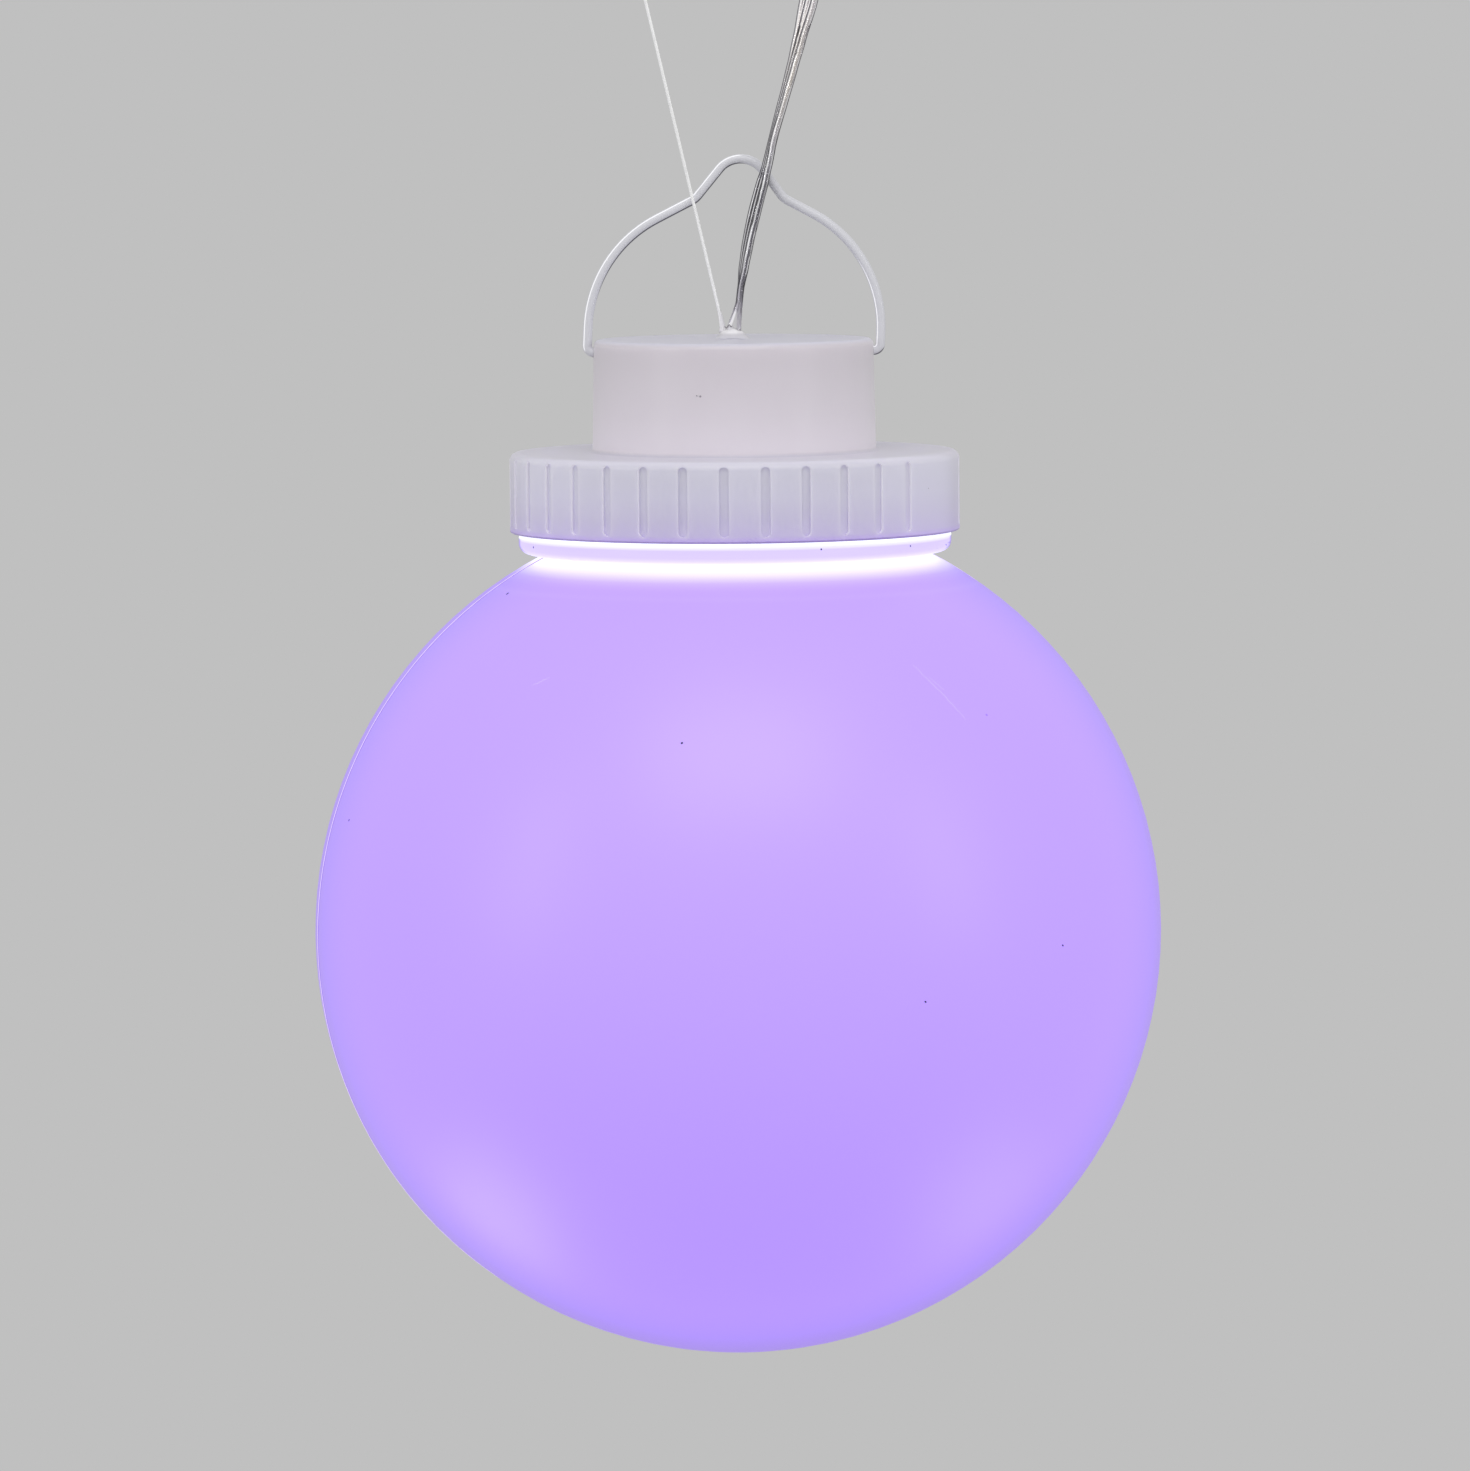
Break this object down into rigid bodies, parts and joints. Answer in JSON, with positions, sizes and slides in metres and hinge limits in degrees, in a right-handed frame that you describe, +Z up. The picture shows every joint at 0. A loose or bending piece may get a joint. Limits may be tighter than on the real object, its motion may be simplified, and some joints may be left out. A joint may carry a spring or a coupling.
{
  "type": "led ball light",
  "caption": "Hanging opal ball lamp with a fluted screw cap, a folding wire bail, a flat clear cable with a plug, and a thin hanging line.",
  "frame": {"origin": "middle of the cap tower's flat top, where the line and the cable leave the lamp", "axes": "+Z up along the lamp's axis, towards the bail; +X to the right as seen from the front; the front looks along -Y"},
  "size_m": [0.2, 0.2, 0.3694],
  "materials": {
    "cap_plastic": "satin",
    "wire_white": "gloss",
    "opal_ball": "satin opal, lit from inside",
    "seal_rubber": "matte",
    "grommet_rubber": "satin",
    "inner_plastic": "matte",
    "screw_steel": "bright",
    "crimp_metal": "satin",
    "lead_jacket": "gloss",
    "board_laminate": "matte",
    "led_face": "gloss",
    "chip_black": "matte",
    "capacitor_can": "satin",
    "lens_clear": "clear moulded plastic",
    "cable_jacket": "clear jacket over copper cores",
    "plug_plastic": "satin",
    "pin_brass": "bright",
    "line_cord": "smooth fine cord"
  },
  "bodies": {
    "cap": {"screw_cap": "cap_plastic", "cable_grommet": "grommet_rubber", "strain_plate": "inner_plastic", "strain_screws": "screw_steel", "cable_crimp": "crimp_metal", "line_knot": "line_cord", "inner_leads": "lead_jacket", "board_tray": "inner_plastic", "tray_screws": "screw_steel", "led_board": "board_laminate", "board_screws": "screw_steel", "led_chips": "led_face", "driver_chip": "chip_black", "board_resistors": "chip_black", "buffer_capacitor": "capacitor_can", "board_terminal": "inner_plastic", "lens_cover": "lens_clear", "lens_seal": "seal_rubber", "lens_screws": "screw_steel", "power_cable": "cable_jacket", "plug_body": "plug_plastic", "plug_pins": "pin_brass", "plug_seal": "seal_rubber", "suspension_line": "line_cord", "line_loop": "line_cord"},
    "bail": {"bail_wire": "wire_white"},
    "neck_seal": {"neck_seal": "seal_rubber"},
    "globe": {"globe": "opal_ball"},
    "plug_ring": {"plug_ring": "plug_plastic"}
  },
  "joints": [
    {"name": "bail_swing", "type": "hinge", "parent": "cap", "child": "bail", "pos_m": [0, 0, -0.003], "axis": [-1, 0, 0], "range_deg": [0, 105]},
    {"name": "globe_drop", "type": "slide", "parent": "cap", "child": "neck_seal", "axis": [0, 0, -1], "range_m": [0, 0.0076]},
    {"name": "globe_turn", "type": "hinge", "parent": "neck_seal", "child": "globe", "pos_m": [0, 0, -0.04], "axis": [0, 0, -1], "range_deg": [0, 450]},
    {"name": "plug_ring_turn", "type": "hinge", "parent": "cap", "child": "plug_ring", "pos_m": [0.0203, -0.0055, 0.115], "axis": [0, 0, 1], "continuous": true}
  ],
  "couplings": [
    {"joint": "globe_drop", "follows": "globe_turn", "m_per_rad": 0.00095493}
  ]
}
